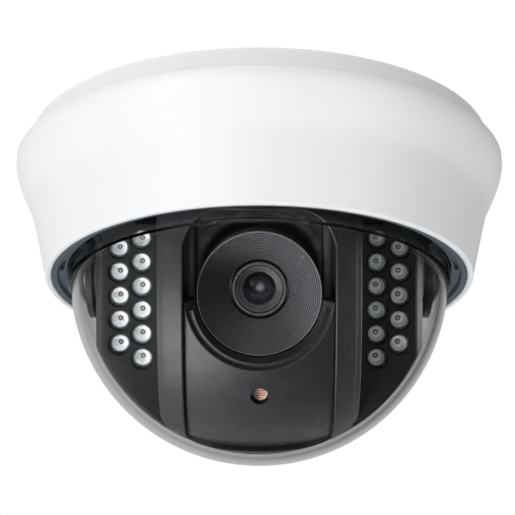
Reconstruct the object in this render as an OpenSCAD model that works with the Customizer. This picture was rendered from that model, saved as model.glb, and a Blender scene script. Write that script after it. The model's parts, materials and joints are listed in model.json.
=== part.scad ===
// Indoor dome camera. A ceiling base carries a pull-off cover with a clear bubble, and
// inside it a camera ball that pans on the base, tilts in a yoke and turns its image.
// Millimetres. The origin is the centre of the ceiling face, +Z points up into the
// ceiling, and the lens looks towards -Y, tilted down.

/* [Ceiling base] */
// Radius of the base at the ceiling
base_r = 61.5; // [60:0.5:62.5]
// Height of the base's side above the cover
band_h = 6.3; // [5.8:0.1:6.8]
// Thickness of the base's floor
floor_t = 2.6; // [2:0.1:2.8]
// Circle that the three ceiling screws lie on
mount_pcd = 100; // [97:1:103]
// Diameter of a ceiling screw's hole
mount_hole_d = 4.5; // [4:0.5:5]
// Diameter of the cable's way through the grommet
cable_d = 7; // [5:0.5:9]

/* [Cover and bubble] */
// Depth of the cover's lip below the ceiling
cover_depth = 39.4; // [39.2:0.1:39.6]
// Wall thickness of the cover
cover_wall = 2.2; // [2:0.1:2.4]
// Outer radius of the bubble
bubble_r = 50; // [49.8:0.1:50.2]
// Wall thickness of the bubble
bubble_wall = 2; // [1.5:0.1:2.2]
// Depth of the bubble's centre, which is also the tilt axis, below the ceiling
centre_drop = 37.7; // [37.5:0.1:37.9]

/* [Camera ball] */
// Radius of the ball's ribs
ball_r = 47; // [46.6:0.1:47.2]
// Wall thickness of the shroud
shroud_wall = 2; // [1.6:0.1:2.2]
// Angle of the lens below the horizon as drawn
rest_tilt = 26.5; // [24:0.5:29]
// Half of the window's width
window_half = 18.5; // [18.3:0.1:18.7]
// Distance of the flat LED panels in front of the tilt axis
panel_z = 16; // [15.6:0.1:16.4]

/* [Infrared LEDs] */
// Diameter of an LED
led_d = 5; // [4.8:0.1:5]
// Distance between neighbouring LEDs in a column
led_pitch = 6.2; // [6.1:0.1:6.3]
// Number of LEDs in an inner column
inner_leds = 6; // [4:1:6]
// Number of LEDs in an outer column
outer_leds = 5; // [3:1:5]

/* [Lens] */
// Outer radius of the grooved trim ring
trim_r = 15.45; // [15.2:0.05:15.5]
// Number of grooves in the trim ring
grooves = 13; // [8:1:16]
// Radius of the lens's thread, M12
thread_r = 6; // [5.9:0.1:6]
// Radius of the lens's head
lens_head_r = 7.05; // [6.8:0.05:7.2]

/* [Hidden] */
$fn = 96;
eps = 0.01;
running_gap = 0.05;

// M2 and M1.6 screws: shank, the hole it cuts its thread in, and a hole it passes through
m2_shank_r = 0.89;
m2_pilot_r = 0.9;
m2_clear_r = 1;
m16_shank_r = 0.69;
m16_pilot_r = 0.7;
m16_clear_r = 0.75;

// Base
base_edge = 0.8;
band_r = 64.4;
nest_r = 62.2;
nest_wall = 1.8;
nest_end = 10.5;
hub_r = 15;
hub_end = 9;
cable_hole_r = 9;
mount_holes = 3;
mount_turn = 90;
mount_boss_r = 5;
mount_boss_t = 0.8;
stop_turn = 4;
stop_in = 24;
stop_out = 27;
stop_meet = 4.4;

// Cover springs, between the ceiling screws
springs = 3;
spring_turn = 30;
spring_w = 8;
spring_t = 0.5;
spring_foot_r = 53;
spring_leg_r = 59.6;
spring_nose_r = 62.83;
spring_screw_r = 56.2;
spring_end = 9.9;

// Turntable, washer and retainer
turn_top = 5.2;
turn_bottom = 8;
turn_r = 40;
ear_x = 45.2;
ear_half = 8;
retainer_r = 18.5;
retainer_hole_r = 11.2;
retainer_t = 1.8;
retainer_screws = 3;
retainer_screw_r = 13.1;
retainer_pilot = 5;
countersink_r = 1.8;
countersink_h = 0.9;
grommet_lip = 1.2;
slip = 0.02;
weight_hole = [22, 35];
weight_hole_half = 16;
lock_r = 31;
lock_shank_r = 1.5;
lock_head_r = 4;
lock_head_h = 2.4;

// Yoke
arm_x = 43.4;
arm_t = 1.6;
arm_half = 7;
arm_end_r = 11;
foot_x = 33;
foot_t = 1.6;
foot_screw_x = 36.5;
foot_screw_y = [-4, 4];
pivot_r = 2.5;
pivot_thread_r = 2;
pivot_thread_x = 37;
pivot_head_r = 4.5;
pivot_head_t = 1.3;
pivot_slot = [1, 0.7];
pivot_washer_r = 6;
tilt_stop_r = 8.6;
tilt_stop_pin = 1.1;
tilt_stop_len = 0.9;
tilt_up = 20;
tilt_down = 63;

// Cover: the outside is two curves, the shoulder and the flare down to the lip
shoulder = [[65.2, -6.5], [65.9, -10.5], [62.4, -16.3], [61, -19.9]];
flare = [[61, -19.9], [60.1, -22.2], [57.9, -33], [56.6, -38.8]];
curve_steps = 9;
lip_in = 54.9;
lip_out = 56.4;
lip_round = 0.6;
seat_top = [55.4, -32];
lug_count = 6;
lug_turn = 4;
lug_in = 54.4;
lug_z = [-33.2, -32];

// Bubble's mounting, from the trim ring up
trim_bottom = 38.9;
trim_top = 33.4;
trim_ledge = 35.5;
trim_face = 37.3;
trim_in = 50.9;
trim_pocket = 52.3;
trim_wall_in = 53.5;
slot_turn = 9;
slot_arc = 8;
seal_t = 0.6;
ledge_gap = 0.1;
flange_t = 1.5;
collar_r = 50.6;
collar_end = 41.4;
clamp_t = 1.8;
clamp_in = 48.6;
clamp_out = 54.2;
clamp_screws = 4;
clamp_screw_r = 53.3;

// Ball, in its own frame: X across, Y up the window, Z forward along the lens
ball_bands = 36;
ball_back = -4;
mid_half = 25;
mid_top = 23;
side_half = 42;
side_top = 16;
side_roof = 1.3;
step_half = 23.7;
step_r = 46.2;
window_top = 21;
window_bottom = -42;
window_round = 10;
panel_edge_x = 40.1;
panel_edge_back = 13;
panel_round = 5;
boss_r = 2.4;
bracket_at = [[20.9, 17.5], [20.9, -27]];
board_post_r = 1.8;
board_posts = [[27.4, -24.4], [36, -21.5]];
pivot_boss_r = 5;

// LED boards
led_r = led_d / 2;
led_len = 8.6;
led_flange_r = 2.9;
led_hole_r = 2.65;
inner_x = 30.2;
inner_y = -3.8;
outer_x = 35.9;
outer_y = -3.2;
board_t = 1.6;
led_board_z = 8.6;
led_board_lo = [25.4, -26.2];
led_board_hi = [39.5, 13.6];

// Bib in front of the camera module, below the lens
bib_r = 45.7;
bib_in_r = 43.7;
bib_half = 18.2;
bib_top = -1.5;
bib_bottom = -41.6;
bib_back = 14.2;
bib_flange_r = 44.4;
bib_flange_in = 42.6;
bib_flange_half = 22.2;
bevel_out = 18.2;
bevel_in = 15.6;
bevel_z = [36, 42];
strut_x = [15.8, 17.8];
strut_z = [24, 33];
strut_top = 19.5;
bib_screw_at = [[20.3, -9], [20.3, -34]];
cell_y = -25;
cell_r = 2.15;
cell_z = [31.7, 35.5];
cell_boss_r = 3.3;

// Bracket and the stage that turns the image
bracket_z = [10, 12];
bracket_half = 22.8;
bracket_y = [-30.5, 20.5];
stage_r = 17.5;
stage_in = 15.4;
stage_flange_r = 19.5;
stage_flange_t = 1.2;
clip_z = [8.7, 9.9];
clip_screws = 3;
clip_screw_r = 16.5;

// Boards of the camera module
pcb = 32;
pcb_corner = 3;
sensor_pcb_z = 4.6;
main_pcb_z = -3.4;
post_at = 12.6;

// Lens and its mount
mount_base = 9.2;
mount_end = 20;
mount_tube_r = 8;
mount_ear = 12.4;
mount_screw_x = 10.4;
nut_r = 8.2;
nut_t = 1.4;
barrel_z = [9.5, 27];
head_z = 22.2;
front_r = 4.15;
rear_r = 3.6;
funnel_z = [27, 36];
funnel_throat = 7.6;
funnel_rim = 15.1;
groove_depth = 0.28;

// ---- shared shapes -------------------------------------------------------------------

function bezier(p, steps) = [
    for (i = [0 : steps])
        let (t = i / steps, s = 1 - t)
        s * s * s * p[0] + 3 * s * s * t * p[1] + 3 * s * t * t * p[2] + t * t * t * p[3]
];

function arc(centre, r, from, to, steps) = [
    for (i = [0 : steps])
        let (a = from + (to - from) * i / steps)
        centre + r * [cos(a), sin(a)]
];

function inward(points, by) = [for (p = points) p - [by, 0]];

function reversed(points) = [for (i = [len(points) - 1 : -1 : 0]) points[i]];

// A point on a Catmull-Rom curve through p, at i + t along it
function smooth_at(p, i, t) =
    let (
        last = len(p) - 1,
        a = p[max(i - 1, 0)],
        b = p[i],
        c = p[min(i + 1, last)],
        d = p[min(i + 2, last)]
    )
    0.5 * (2 * b + t * (c - a) + t * t * (2 * a - 5 * b + 4 * c - d)
        + t * t * t * (3 * b - a - 3 * c + d));

function smooth(p, steps) = concat(
    [for (i = [0 : len(p) - 2], k = [0 : steps - 1]) smooth_at(p, i, k / steps)],
    [p[len(p) - 1]]
);

function unit(v) = v / norm(v);

module block(lo, hi) {
    translate(lo) cube(hi - lo);
}

module around(count, start = 0) {
    for (i = [0 : count - 1])
        rotate(start + i * 360 / count) children();
}

module both_sides() {
    children();
    mirror([1, 0, 0]) children();
}

module tube(r_out, r_in, z0, z1) {
    translate([0, 0, z0])
        difference() {
            cylinder(h = z1 - z0, r = r_out);
            translate([0, 0, -1]) cylinder(h = z1 - z0 + 2, r = r_in);
        }
}

// Part of a ring between two radii, centred on +X
module ring_part(r_in, r_out, half_turn, z0, z1) {
    translate([0, 0, z0])
        rotate(-half_turn)
            rotate_extrude(angle = 2 * half_turn)
                translate([r_in, 0]) square([r_out - r_in, z1 - z0]);
}

// Pan head on +Z with a cross slot, shank towards -Z from the origin
module screw(head_r, head_h, shank_r, length) {
    difference() {
        cylinder(h = head_h, r = head_r);
        for (a = [0, 90])
            rotate(a)
                translate([-head_r * 0.6, -head_r * 0.12, head_h * 0.4])
                    cube([head_r * 1.2, head_r * 0.24, head_h]);
    }
    translate([0, 0, -length]) cylinder(h = length + eps, r = shank_r);
}

// Round lead along a smoothed route
module lead(route, r, steps) {
    p = smooth(route, steps);
    sides = 8;
    last = len(p) - 1;
    rings = [
        for (i = [0 : last])
            let (
                along = unit(p[min(i + 1, last)] - p[max(i - 1, 0)]),
                across = unit(cross(along, [0.1, 0.2, 1])),
                third = cross(along, across)
            )
            for (k = [0 : sides - 1])
                p[i] + r * (cos(k * 360 / sides) * across + sin(k * 360 / sides) * third)
    ];
    walls = [
        for (i = [0 : last - 1], k = [0 : sides - 1])
            let (a = i * sides + k, b = i * sides + (k + 1) % sides)
            [a, a + sides, b + sides, b]
    ];
    near_cap = [for (k = [0 : sides - 1]) k];
    far_cap = [for (k = [sides - 1 : -1 : 0]) last * sides + k];
    polyhedron(rings, concat(walls, [near_cap, far_cap]));
}

// The ball's own frame: X across, Y up the window, Z forward along the lens
module in_ball() {
    translate([0, 0, -centre_drop]) rotate([90 + rest_tilt, 0, 0]) children();
}

// Round body about the tilt axis
module ball(r) {
    rotate([0, 90, 0]) rotate_extrude() polygon(arc([0, 0], r, -90, 90, ball_bands));
}

// ---- base ------------------------------------------------------------------------------

base_outline = concat(
    [[0, 0]],
    arc([base_r - base_edge, -base_edge], base_edge, 90, 0, 6),
    [
        [band_r, -band_h],
        [nest_r, -band_h],
        [nest_r, -nest_end],
        [nest_r - nest_wall, -nest_end],
        [nest_r - nest_wall, -floor_t],
        [0, -floor_t]
    ]
);

module base_plate() {
    color("whitesmoke")
        difference() {
            union() {
                rotate_extrude() polygon(base_outline);
                translate([0, 0, -hub_end]) cylinder(h = hub_end - floor_t + eps, r = hub_r);
                around(mount_holes, mount_turn)
                    translate([mount_pcd / 2, 0, -floor_t - mount_boss_t])
                        cylinder(h = mount_boss_t + eps, r = mount_boss_r);
                rotate(90) ring_part(stop_in, stop_out, stop_turn, -stop_meet, -floor_t + eps);
            }
            translate([0, 0, -hub_end - 1]) cylinder(h = hub_end + 2, r = cable_hole_r);
            around(mount_holes, mount_turn)
                translate([mount_pcd / 2, 0, -mount_boss_t - floor_t - 1])
                    cylinder(h = floor_t + mount_boss_t + 2, d = mount_hole_d);
            around(retainer_screws)
                translate([retainer_screw_r, 0, -hub_end - eps])
                    cylinder(h = retainer_pilot, r = m2_pilot_r);
            around(springs, spring_turn) {
                translate([spring_screw_r, 0, -floor_t - eps]) cylinder(h = 2, r = m2_pilot_r);
                block([spring_leg_r - 1, -spring_w / 2 - 0.5, -nest_end - 1],
                    [nest_r + 1, spring_w / 2 + 0.5, -band_h - 0.2]);
            }
        }
}

module cable_grommet() {
    color("#222222")
        difference() {
            union() {
                translate([0, 0, -hub_end]) cylinder(h = hub_end - 0.4, r = cable_hole_r - slip);
                translate([0, 0, -hub_end - grommet_lip])
                    cylinder(h = grommet_lip, r = retainer_hole_r - 0.3);
            }
            translate([0, 0, -hub_end - 2]) cylinder(h = hub_end + 3, d = cable_d);
        }
}

module pan_retainer() {
    color("silver")
        difference() {
            tube(retainer_r, retainer_hole_r, -hub_end - retainer_t, -hub_end);
            around(retainer_screws)
                translate([retainer_screw_r, 0, -hub_end - retainer_t - eps]) {
                    cylinder(h = retainer_t + 1.2, r = m2_clear_r);
                    cylinder(h = countersink_h, r1 = countersink_r, r2 = m2_clear_r);
                }
        }
}

module pan_retainer_screws() {
    color("dimgray")
        around(retainer_screws)
            translate([retainer_screw_r, 0, -hub_end - retainer_t])
                difference() {
                    union() {
                        cylinder(h = countersink_h - 0.05, r1 = countersink_r - 0.1,
                            r2 = m2_pilot_r);
                        cylinder(h = retainer_t + retainer_pilot - 0.8, r = m2_shank_r);
                    }
                    for (a = [0, 90])
                        rotate(a) translate([-1, -0.2, -1]) cube([2, 0.4, 1.5]);
                }
}

module pan_washer() {
    color("ivory") tube(retainer_r - 0.1, hub_r + 0.1, -hub_end, -turn_bottom);
}

// Side view of a spring: foot under the floor, leg down, nose out to the cover's wall
spring_outline = [
    [spring_foot_r, -floor_t],
    [spring_leg_r, -floor_t],
    [spring_leg_r, -band_h - 1.2],
    [spring_nose_r, -band_h - 2.2],
    [spring_leg_r, -spring_end],
    [spring_leg_r - spring_t, -spring_end],
    [spring_nose_r - 2 * spring_t, -band_h - 2.2],
    [spring_leg_r - spring_t, -band_h - 1.2],
    [spring_leg_r - spring_t, -floor_t - spring_t],
    [spring_foot_r, -floor_t - spring_t]
];

module cover_springs() {
    color("lightsteelblue")
        around(springs, spring_turn)
            difference() {
                translate([0, spring_w / 2, 0])
                    rotate([90, 0, 0]) linear_extrude(spring_w) polygon(spring_outline);
                translate([spring_screw_r, 0, -floor_t - 1]) cylinder(h = 2, r = m2_clear_r);
            }
}

module cover_spring_screws() {
    color("dimgray")
        around(springs, spring_turn)
            translate([spring_screw_r, 0, -floor_t - spring_t])
                rotate([180, 0, 0]) screw(1.8, 1.1, m2_shank_r, 2);
}

// ---- cover and bubble -------------------------------------------------------------------

cover_outline = concat(
    bezier(shoulder, curve_steps),
    bezier(flare, curve_steps),
    arc([lip_out - lip_round, -cover_depth + lip_round], lip_round, 0, -90, 4),
    [[lip_in, -cover_depth]],
    [seat_top],
    reversed([
        for (p = inward(bezier(flare, curve_steps), cover_wall))
            if (p[1] > seat_top[1]) p
    ]),
    reversed(inward(bezier(shoulder, curve_steps), cover_wall))
);

module cover_shell() {
    color("white") {
        rotate_extrude() polygon(cover_outline);
        around(lug_count, 30)
            ring_part(lug_in, seat_top[0] + 1, lug_turn, lug_z[0], lug_z[1]);
    }
}

trim_outline = [
    [trim_wall_in, -trim_bottom],
    [lip_in - slip, -trim_bottom],
    [seat_top[0] - 0.15, -trim_top],
    [trim_pocket, -trim_top],
    [trim_pocket, -trim_ledge],
    [trim_in, -trim_ledge],
    [trim_in, -trim_face],
    [trim_wall_in - 0.4, -trim_face - 0.3]
];

module trim_ring() {
    color("#32465a")
        difference() {
            rotate_extrude() polygon(trim_outline);
            around(clamp_screws, 45)
                translate([clamp_screw_r, 0, -trim_top - 3]) cylinder(h = 4, r = m16_pilot_r);
            for (a = [-slot_turn, 180 + slot_turn])
                rotate(a)
                    ring_part(trim_in + 0.7, trim_wall_in - 0.8, slot_arc / 2,
                        -trim_face - 1, -trim_ledge - 0.6);
        }
}

module bubble_seal() {
    color("black")
        tube(trim_pocket - ledge_gap, trim_in + ledge_gap, -trim_ledge, -trim_ledge + seal_t);
}

flange_bottom = trim_ledge - seal_t;
flange_top = flange_bottom - flange_t;
collar_turn = -asin((collar_end - centre_drop) / bubble_r);

// Section of the bubble: the sphere below, a thicker collar above and a flange on top
bubble_outline = concat(
    arc([0, -centre_drop], bubble_r, -90, collar_turn, 24),
    [
        [collar_r, -collar_end + 0.4],
        [collar_r, -flange_bottom],
        [trim_pocket - ledge_gap, -flange_bottom],
        [trim_pocket - ledge_gap, -flange_top],
        [bubble_r - bubble_wall, -flange_top]
    ],
    arc([0, -centre_drop], bubble_r - bubble_wall, 0, -90, 24)
);

module bubble() {
    color("lightcyan", 0.3) rotate_extrude() polygon(bubble_outline);
}

module bubble_clamp_ring() {
    color("#1c1c1c")
        difference() {
            tube(clamp_out, clamp_in, -flange_top, -flange_top + clamp_t);
            around(clamp_screws, 45)
                translate([clamp_screw_r, 0, -flange_top - 1])
                    cylinder(h = clamp_t + 2.2, r = m16_clear_r);
        }
}

module bubble_clamp_screws() {
    color("dimgray")
        around(clamp_screws, 45)
            translate([clamp_screw_r, 0, -flange_top + clamp_t])
                screw(1.3, 1, m16_shank_r, 4.5);
}

// ---- turntable and yoke --------------------------------------------------------------------

module turntable() {
    color("#262626")
        difference() {
            union() {
                translate([0, 0, -turn_bottom])
                    linear_extrude(turn_bottom - turn_top)
                        difference() {
                            union() {
                                circle(turn_r);
                                square([2 * ear_x, 2 * ear_half], center = true);
                            }
                            circle(hub_r + running_gap);
                        }
                rotate(-90)
                    ring_part(stop_in, stop_out, stop_turn, -turn_top - eps, -stop_meet + 1);
            }
            // Weight and cable windows
            for (a = [-1, 1])
                rotate(a * 45)
                    translate([0, 0, -turn_bottom - 1]) {
                        ring_part(weight_hole[0], weight_hole[1], weight_hole_half, 0, 5);
                        rotate(180)
                            ring_part(weight_hole[0], weight_hole[1], weight_hole_half, 0, 5);
                    }
            translate([0, lock_r, -turn_bottom - 1])
                cylinder(h = 5, r = lock_shank_r + running_gap);
            both_sides()
                for (y = foot_screw_y)
                    translate([foot_screw_x, y, -turn_bottom - eps])
                        cylinder(h = 2.3, r = m2_pilot_r);
        }
}

// Right-hand arm: foot under the turntable, upright plate and round end at the pivot
module yoke_arm() {
    difference() {
        union() {
            block([foot_x, -arm_half, -turn_bottom - foot_t],
                [arm_x + arm_t, arm_half, -turn_bottom]);
            translate([arm_x, 0, 0])
                rotate([90, 0, 90])
                    linear_extrude(arm_t) {
                        translate([-arm_half, -centre_drop])
                            square([2 * arm_half, centre_drop - turn_bottom]);
                        translate([0, -centre_drop]) circle(arm_end_r);
                    }
        }
        translate([arm_x - 1, 0, -centre_drop])
            rotate([0, 90, 0]) cylinder(h = arm_t + 2, r = pivot_r + running_gap);
        for (y = foot_screw_y)
            translate([foot_screw_x, y, -turn_bottom - foot_t - 1])
                cylinder(h = foot_t + 2, r = m2_clear_r);
    }
}

// Turn of a tilt stop past the ball's own stop pin, so that the two pins just meet
stop_reach = 2 * asin((tilt_stop_pin + 0.08) / tilt_stop_r);

module tilt_stops() {
    for (turn = [-tilt_up - stop_reach, tilt_down + stop_reach])
        translate([arm_x - tilt_stop_len, 0, -centre_drop])
            rotate([turn + 180 + rest_tilt, 0, 0])
                translate([0, 0, tilt_stop_r])
                    rotate([0, 90, 0]) cylinder(h = tilt_stop_len + eps, r = tilt_stop_pin);
}

module yoke_arm_right() {
    color("#303030") {
        yoke_arm();
        tilt_stops();
    }
}

module yoke_arm_left() {
    color("#303030") mirror([1, 0, 0]) yoke_arm();
}

module yoke_screws() {
    color("dimgray")
        both_sides()
            for (y = foot_screw_y)
                translate([foot_screw_x, y, -turn_bottom - foot_t])
                    rotate([180, 0, 0]) screw(1.9, 1.2, m2_shank_r, foot_t + 2);
}

module pan_lock_screw() {
    color("silver")
        translate([0, lock_r, -turn_bottom])
            rotate([180, 0, 0])
                screw(lock_head_r, lock_head_h, lock_shank_r, turn_bottom - floor_t - 0.15);
}

// ---- ball: shroud ------------------------------------------------------------------------------

// Middle bulge between the LED panels, and the two side housings behind them
module ball_body(r, half, face, top, low_top, side, back) {
    intersection() {
        ball(r);
        union() {
            block([-half, -r, back], [half, top, r]);
            block([-side, -r, back], [side, low_top, face]);
        }
    }
}

module window_shape() {
    low = window_bottom;
    translate([-window_half, low])
        square([2 * window_half, window_top - window_round - low]);
    translate([-window_half + window_round, low])
        square([2 * (window_half - window_round), window_top - low]);
    for (x = [-1, 1])
        translate([x * (window_half - window_round), window_top - window_round])
            circle(window_round);
}

module panel_edges() {
    both_sides() {
        rotate([90, 0, 0])
            translate([0, 0, -side_top - 1])
                linear_extrude(ball_r + side_top)
                    polygon([
                        [panel_edge_x, panel_z],
                        [panel_edge_x, panel_z + 1],
                        [side_half + 1, panel_z + 1],
                        [side_half + 1, panel_edge_back - 1],
                        [side_half, panel_edge_back]
                    ]);
        translate([0, 0, panel_edge_back - 3])
            linear_extrude(ball_r)
                difference() {
                    translate([side_half - panel_round, side_top - panel_round])
                        square(panel_round + 1);
                    translate([side_half - panel_round, side_top - panel_round])
                        circle(panel_round);
                }
    }
}

module shroud_steps() {
    both_sides()
        intersection() {
            block([step_half, -ball_r, panel_z], [mid_half + 1, ball_r, ball_r]);
            difference() {
                ball(ball_r + 1);
                ball(step_r);
            }
        }
}

function column(x, y, count) = [
    for (i = [0 : count - 1]) [x, y + (i - (count - 1) / 2) * led_pitch]
];
led_places = concat(
    column(inner_x, inner_y, inner_leds),
    column(outer_x, outer_y, outer_leds)
);

module screw_bosses() {
    both_sides()
        intersection() {
            ball(ball_r - shroud_wall / 2);
            union() {
                for (p = bracket_at)
                    translate([p[0], p[1], bracket_z[1]]) cylinder(h = ball_r, r = boss_r);
                for (p = board_posts)
                    translate([p[0], p[1], led_board_z])
                        cylinder(h = panel_z - led_board_z - 1, r = board_post_r);
                translate([pivot_thread_x - 0.5, 0, 0])
                    rotate([0, 90, 0])
                        cylinder(h = side_half - pivot_thread_x, r = pivot_boss_r);
            }
        }
}

module front_shroud() {
    color("#141414")
        in_ball() {
            difference() {
                union() {
                    difference() {
                        ball_body(ball_r, mid_half, panel_z, mid_top, side_top, side_half,
                            ball_back);
                        ball_body(ball_r - shroud_wall - 0.2, mid_half - shroud_wall,
                            panel_z - shroud_wall, mid_top - shroud_wall,
                            side_top - side_roof, side_half - shroud_wall, ball_back - 1);
                    }
                    screw_bosses();
                }
                translate([0, 0, panel_z - shroud_wall - 1])
                    linear_extrude(ball_r) window_shape();
                panel_edges();
                shroud_steps();
                both_sides() {
                    for (p = led_places)
                        translate([p[0], p[1], panel_z - shroud_wall - 1])
                            cylinder(h = shroud_wall + 2, r = led_hole_r);
                    for (p = bracket_at)
                        translate([p[0], p[1], bracket_z[1] - 1])
                            cylinder(h = 6, r = m2_pilot_r);
                    for (p = board_posts)
                        translate([p[0], p[1], led_board_z - 1]) cylinder(h = 5, r = 0.8);
                    for (p = bib_screw_at)
                        along_radius(p)
                            translate([0, 0, -0.5]) cylinder(h = 2.1, r = m16_pilot_r);
                    translate([pivot_thread_x - 1, 0, 0])
                        rotate([0, 90, 0])
                            cylinder(h = side_half, r = pivot_thread_r + slip);
                }
            }
            // Pin that meets the right-hand arm's two tilt stops
            translate([side_half - eps, 0, 0])
                rotate([90, 0, 0])
                    translate([0, 0, tilt_stop_r])
                        rotate([0, 90, 0]) cylinder(h = tilt_stop_len, r = tilt_stop_pin);
        }
}

// Frame on the shroud's inner wall at [x, y], with +Z outward
module along_radius(at) {
    r = ball_r - shroud_wall - 0.2;
    p = [at[0], at[1], sqrt(r * r - at[0] * at[0] - at[1] * at[1])];
    translate(p)
        rotate([0, acos(p[2] / r), atan2(p[1], p[0])]) children();
}

// Shouldered screw: head outside the arm, shoulder in its bore, thread in the ball
module pivot_screw() {
    translate([0, 0, -centre_drop])
        rotate([0, 90, 0]) {
            translate([0, 0, pivot_thread_x])
                cylinder(h = side_half - pivot_thread_x + eps, r = pivot_thread_r);
            translate([0, 0, side_half]) cylinder(h = arm_x + arm_t - side_half + 0.1, r = pivot_r);
            translate([0, 0, arm_x + arm_t + 0.1])
                difference() {
                    cylinder(h = pivot_head_t, r = pivot_head_r);
                    translate([-pivot_head_r, -pivot_slot[0] / 2, pivot_head_t - pivot_slot[1]])
                        cube([2 * pivot_head_r, pivot_slot[0], 2]);
                }
        }
}

module pivot_screw_right() {
    color("silver") pivot_screw();
}

module pivot_screw_left() {
    color("silver") mirror([1, 0, 0]) pivot_screw();
}

module pivot_washers() {
    color("ivory")
        both_sides()
            translate([0, 0, -centre_drop])
                rotate([0, 90, 0])
                    tube(pivot_washer_r, pivot_r + slip, side_half, arm_x - running_gap);
}

// ---- ball: LED boards -----------------------------------------------------------------------------

module led_board() {
    in_ball()
        difference() {
            intersection() {
                translate([0, 0, led_board_z - board_t])
                    linear_extrude(board_t)
                        translate(led_board_lo) square(led_board_hi - led_board_lo);
                ball(ball_r - shroud_wall - 0.6);
            }
            for (p = board_posts)
                translate([p[0], p[1], led_board_z - board_t - 1]) cylinder(h = 4, r = 0.9);
        }
}

module led_board_right() {
    color("darkgreen") led_board();
}

module led_board_left() {
    color("darkgreen") mirror([1, 0, 0]) led_board();
}

module led() {
    cylinder(h = 1, r = led_flange_r);
    cylinder(h = led_len - led_r, r = led_r);
    translate([0, 0, led_len - led_r]) sphere(led_r, $fn = 48);
}

module led_bank() {
    in_ball()
        for (p = led_places)
            translate([p[0], p[1], led_board_z]) led();
}

module ir_leds_right() {
    color("aliceblue", 0.7) led_bank();
}

module ir_leds_left() {
    color("aliceblue", 0.7) mirror([1, 0, 0]) led_bank();
}

module led_resistors() {
    color("black")
        in_ball()
            both_sides()
                for (i = [0 : 3])
                    translate([31.5, -15 + 7 * i, led_board_z - board_t - 0.6])
                        cube([3.2, 1.6, 0.6]);
}

module led_board_screws() {
    color("silver")
        in_ball()
            both_sides()
                for (p = board_posts)
                    translate([p[0], p[1], led_board_z - board_t])
                        rotate([180, 0, 0]) screw(1.5, 1, 0.79, board_t + 3.5);
}

// Lead behind the boards, round the bottom of the ball, from one LED board to the other
led_lead_end = [28, -20, 6.4];
led_lead_route = [
    [-led_lead_end[0], led_lead_end[1], led_lead_end[2]],
    [-29, -22, 3],
    [-26, -30, 1],
    [-12, -38, 2],
    [0, -40, 2],
    [12, -38, 2],
    [26, -30, 1],
    [29, -22, 3],
    led_lead_end
];

module led_lead() {
    color("firebrick") in_ball() lead(led_lead_route, 0.6, 4);
}

// ---- ball: bib and light sensor ---------------------------------------------------------------------

module bib_skin() {
    intersection() {
        block([-bib_half, bib_bottom, bib_back], [bib_half, bib_top, ball_r]);
        difference() {
            ball(bib_r);
            difference() {
                ball(bib_in_r);
                translate([0, 0, bevel_z[0]]) cylinder(h = ball_r, r = bevel_out + 1);
            }
        }
    }
}

module bib_flange() {
    intersection() {
        block([-bib_flange_half, bib_bottom + 3, 0],
            [bib_flange_half, bib_top - 2, ball_r]);
        difference() {
            ball(bib_flange_r);
            ball(bib_flange_in);
        }
    }
}

module lens_bib() {
    color("#171717")
        in_ball()
            difference() {
                union() {
                    bib_skin();
                    bib_flange();
                    both_sides()
                        block([strut_x[0], bib_top - 2, strut_z[0]],
                            [strut_x[1], strut_top, strut_z[1]]);
                    both_sides()
                        block([strut_x[0], bib_top - 4, strut_z[0]],
                            [strut_x[1], bib_top - 1, bevel_z[0] + 2]);
                    intersection() {
                        ball(bib_r - 0.5);
                        translate([0, cell_y, cell_z[0] + 0.2])
                            cylinder(h = 10, r = cell_boss_r);
                    }
                }
                translate([0, 0, bevel_z[0] - 30]) cylinder(h = 30 + eps, r = bevel_in);
                translate([0, 0, bevel_z[0]])
                    cylinder(h = bevel_z[1] - bevel_z[0] + eps, r1 = bevel_in, r2 = bevel_out);
                translate([0, 0, bevel_z[1]]) cylinder(h = ball_r - bevel_z[1], r = bevel_out);
                translate([0, cell_y, cell_z[0]]) cylinder(h = 12, r = cell_r + 0.1);
                both_sides()
                    for (p = bib_screw_at)
                        along_radius(p)
                            translate([0, 0, -4]) cylinder(h = 5, r = m16_clear_r);
                // Room for the shroud's lower bracket bosses
                both_sides()
                    translate([bracket_at[1][0], bracket_at[1][1], bracket_z[1]])
                        cylinder(h = ball_r, r = boss_r + 0.15);
            }
}

module bib_screws() {
    color("dimgray")
        in_ball()
            both_sides()
                for (p = bib_screw_at)
                    along_radius(p)
                        translate([0, 0, -2.6])
                            rotate([180, 0, 0]) screw(1.3, 0.9, m16_shank_r, 4);
}

module photocell() {
    color("tan")
        in_ball()
            translate([0, cell_y, cell_z[0]])
                cylinder(h = cell_z[1] - cell_z[0], r = cell_r);
}

module photocell_board() {
    color("darkgreen")
        in_ball()
            block([-4, cell_y - 2.8, cell_z[0] - 1.2], [4, cell_y + 4, cell_z[0]]);
}

photocell_route = [
    [3, cell_y, cell_z[0] - 1.9],
    [6, -28, 27],
    [13, -33, 20],
    [20, -34, 13],
    [25, -33, 9],
    [28, -30, 5],
    [31, -24, 4.5],
    [31, -22.5, 6.4]
];

module photocell_lead() {
    color("goldenrod") in_ball() lead(photocell_route, 0.6, 5);
}

// ---- ball: stage that turns the image ------------------------------------------------------------------

module lens_bracket() {
    color("#2a2a2a")
        in_ball()
            difference() {
                block([-bracket_half, bracket_y[0], bracket_z[0]],
                    [bracket_half, bracket_y[1], bracket_z[1]]);
                translate([0, 0, bracket_z[0] - 1]) cylinder(h = 4, r = stage_r + running_gap);
                both_sides() {
                    for (p = bracket_at)
                        translate([p[0], p[1], bracket_z[0] - 1])
                            cylinder(h = 4, r = m2_clear_r);
                }
            }
}

module lens_bracket_screws() {
    color("dimgray")
        in_ball()
            both_sides()
                for (p = bracket_at)
                    translate([p[0], p[1], bracket_z[0]])
                        rotate([180, 0, 0]) screw(1.9, 1.2, m2_shank_r, 6.5);
}

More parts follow.
